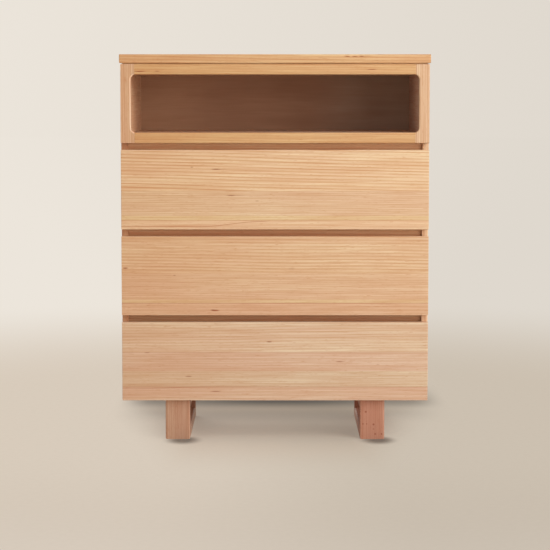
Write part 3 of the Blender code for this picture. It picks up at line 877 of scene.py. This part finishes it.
# The floor's painted shade, darkest in a strip behind the case. It lies a little to the right of the
# object's middle.
SHADE_SHIFT = 0.022
STRIP_START = (0.335, 0.525)     # the strip behind the case darkens, then fades
STRIP_FADE = (0.54, 0.95)
STRIP_ENDS = (0.42, 0.55)        # away from the middle
STRIP_DARK = 0.44
MIDDLE_ENDS = (0.05, 0.40)       # the same, for the middle of the strip
MIDDLE_DARK = 0.30
UNDER_START = (0.05, 0.30)       # a lighter shade before it, under the case
UNDER_ENDS = (0.36, 0.55)
UNDER_DARK = 0.165
FOOT_SHIFT = 0.016               # the feet's own shade lies this far to the right
FOOT_AHEAD = 0.020               # from a front foot forwards to the middle of its shade
FOOT_REACH = (0.060, 0.080)      # sideways and forwards
FOOT_EDGE = (0.2, 1.1)           # as shares of the reach
FOOT_DARK = 0.67
NO_GLOW_FROM = 0.8               # the close shade from which the floor no longer glows


def sideways(nodes, x, distance):
    """From 0 on the left to 1 on the right, along a direction seen from the object."""
    return nodes.remap(nodes.calc("DIVIDE", x, distance), -SIDE_REACH, SIDE_REACH)


def floor_glow(shader, place, close):
    """How far the floor glows by itself, so that the soft shade stays close to the object."""
    ahead = shader.calc("MAXIMUM", shader.calc("SUBTRACT", NARROWS_FROM, place[Y]), 0.0)
    off = shader.calc("MULTIPLY_ADD", ahead, NARROWING, shader.calc("ABSOLUTE", place[X]))
    beside = shader.remap(off, *CLEAR_BESIDE)
    behind = shader.remap(place[Y], *CLEAR_BEHIND)
    before = shader.remap(place[Y], *CLEAR_BEFORE)
    clear = shader.calc("MAXIMUM", beside, shader.calc("MAXIMUM", behind, before))
    glow = shader.partway(clear, UNDER_GLOW, 1.0)
    deep = shader.calc("SUBTRACT", shader.remap(place[Y], *DEEP_STRETCH), clear)
    deep_share = shader.remap(deep, 0.0, 1.0, 1.0, DEEP_GLOW)
    close_share = shader.remap(close, 0.0, NO_GLOW_FROM, 1.0, 0.0)
    return shader.times(glow, deep_share, close_share)


def case_shade(shader, place):
    """The dark strip behind the case and the lighter shade before it, from 0 to 1."""
    off = shader.calc("ABSOLUTE", shader.calc("SUBTRACT", place[X], SHADE_SHIFT))
    strip = shader.calc("ADD", shader.remap(off, *STRIP_ENDS, STRIP_DARK, 0.0),
                        shader.remap(off, *MIDDLE_ENDS, MIDDLE_DARK, 0.0))
    strip = shader.times(strip, shader.remap(place[Y], *STRIP_START))
    under = shader.times(shader.remap(off, *UNDER_ENDS, 1.0, 0.0),
                         shader.remap(place[Y], *UNDER_START, 0.0, UNDER_DARK))
    return shader.times(shader.calc("ADD", strip, under), shader.remap(place[Y], *STRIP_FADE, 1.0, 0.0))


def feet_shade(shader, place):
    """The dark shade at the two front feet, from 0 to 1."""
    low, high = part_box("leg_right_front_post")
    off = shader.calc("ABSOLUTE", shader.calc("SUBTRACT", place[X], FOOT_SHIFT))
    beside = shader.calc("SUBTRACT", off, (low[X] + high[X]) / 2)
    before = shader.calc("SUBTRACT", place[Y], low[Y] - FOOT_AHEAD)
    reach = shader.join(shader.calc("DIVIDE", beside, FOOT_REACH[0]),
                        shader.calc("DIVIDE", before, FOOT_REACH[1]), 0.0)
    return shader.remap(shader.length(reach), *FOOT_EDGE, FOOT_DARK, 0.0)


def floor_material():
    shader = Shader("floor")
    place = shader.split(shader.coordinates("Object"))
    square = shader.calc("ADD", shader.calc("POWER", place[X], 2.0), shader.calc("POWER", place[Y], 2.0))
    blended = shader.calc("SQRT", shader.calc("ADD", square, NEAR_BLEND ** 2))
    side = sideways(shader, place[X], blended)
    grit = shader.noise(shader.coordinates("Object"), detail=3.0, scale=GRIT)
    close = shader.calc("MAXIMUM", case_shade(shader, place), feet_shade(shader, place))

    near = shader.mix(side, FLOOR_LEFT, FLOOR_RIGHT)
    near = shader.mix(shader.remap(grit, *GRIT_EDGE), shader.tint(near, SCUFFED), near)
    near = shader.mix(shader.remap(place[Y], *FOREGROUND_STRETCH), near, shader.tint(near, FOREGROUND))
    # painted shade of the case and its feet, in the floor's colour
    near = shader.mix(close, near, shader.tint(near, CLOSE_SHADE))
    shader.finish(near, FLOOR_ROUGHNESS, grit, GRIT_RELIEF)

    far = shader.mix(side, WALL_LEFT, WALL_RIGHT)
    fade = shader.remap(shader.calc("SQRT", square), *FADE)
    seen = shader.add("ShaderNodeEmission", {"Color": shader.mix(fade, near, far)}).outputs[0]
    glow = shader.times(floor_glow(shader, place, close), shader.plainly_seen())
    both = shader.add("ShaderNodeMixShader", {0: glow, 1: shader.surface.outputs[0], 2: seen})
    shader.feed(shader.tree.nodes["Material Output"].inputs["Surface"], both.outputs[0])
    return shader.material


def make_floor():
    """A pale floor that fades into the backdrop, a few metres from the object."""
    mesh = bmesh.new()
    bmesh.ops.create_circle(mesh, cap_ends=True, radius=FLOOR_RADIUS, segments=FLOOR_SIDES)
    data = bpy.data.meshes.new("floor")
    mesh.to_mesh(data)
    mesh.free()
    data.materials.append(floor_material())
    floor = bpy.data.objects.new("floor", data)
    bpy.context.scene.collection.objects.link(floor)


STUDIO = srgb(240, 238, 235)
STUDIO_LIGHT = 0.55


def make_world():
    """Even studio light. The camera and reflections see the backdrop's colour instead."""
    world = bpy.data.worlds.new("studio")
    bpy.context.scene.world = world
    world.use_nodes = True
    nodes = Nodes(world.node_tree)
    sky = nodes.tree.nodes["Background"]
    sky.inputs["Color"].default_value = STUDIO
    sky.inputs["Strength"].default_value = STUDIO_LIGHT
    side = sideways(nodes, nodes.split(nodes.coordinates("Generated"))[X], 1.0)
    backdrop = nodes.mix(side, WALL_LEFT, WALL_RIGHT)
    seen = nodes.add("ShaderNodeBackground", {"Color": backdrop}).outputs[0]
    both = nodes.add("ShaderNodeMixShader", {0: nodes.plainly_seen(), 1: sky.outputs[0], 2: seen})
    nodes.feed(nodes.tree.nodes["World Output"].inputs["Surface"], both.outputs[0])


def make_lamp(name, place, target, size, watts, colour):
    data = bpy.data.lights.new(name, "AREA")
    data.shape = "RECTANGLE"
    data.size, data.size_y = size
    data.energy = watts
    data.color = colour
    lamp = bpy.data.objects.new(name, data)
    lamp.location = place
    lamp.rotation_euler = (Vector(target) - lamp.location).to_track_quat("-Z", "Y").to_euler()
    bpy.context.scene.collection.objects.link(lamp)


def make_light():
    """Soft lamps: the key high on the right, a broad one low on the right, and one behind."""
    make_lamp("key", place=(3.4, -3.45, 3.6), target=(0, -0.2, 0.65), size=(3.4, 3.4),
              watts=142.0, colour=(1.0, 0.99, 0.98))
    make_lamp("fill", place=(4.0, -5.3, 1.3), target=(0, -0.2, 0.6), size=(4.6, 3.0),
              watts=138.0, colour=(1.0, 0.98, 0.96))
    make_lamp("back", place=(-2.6, 5.0, 2.4), target=(0, 0.2, 0.6), size=(3.4, 2.4),
              watts=90.0, colour=(1.0, 0.99, 0.97))


CAMERA_PLACE = (0.0, -5.898, 1.014)
CAMERA_DOWN = 5.302        # how far the camera looks down, in degrees
LENS = 128.06              # in millimetres, as is the sensor
SENSOR = 36.0


def make_camera():
    data = bpy.data.cameras.new("camera")
    data.lens = LENS
    data.sensor_width = SENSOR
    camera = bpy.data.objects.new("camera", data)
    camera.location = CAMERA_PLACE
    camera.rotation_euler = (math.radians(90 - CAMERA_DOWN), 0, 0)
    bpy.context.scene.collection.objects.link(camera)
    bpy.context.scene.camera = camera


dress_case()
dress_niche()
dress_finger_rails()
dress_legs()
dress_drawers()
dress_slides()
make_floor()
make_world()
make_light()
make_camera()

bpy.context.scene.view_settings.view_transform = "Standard"
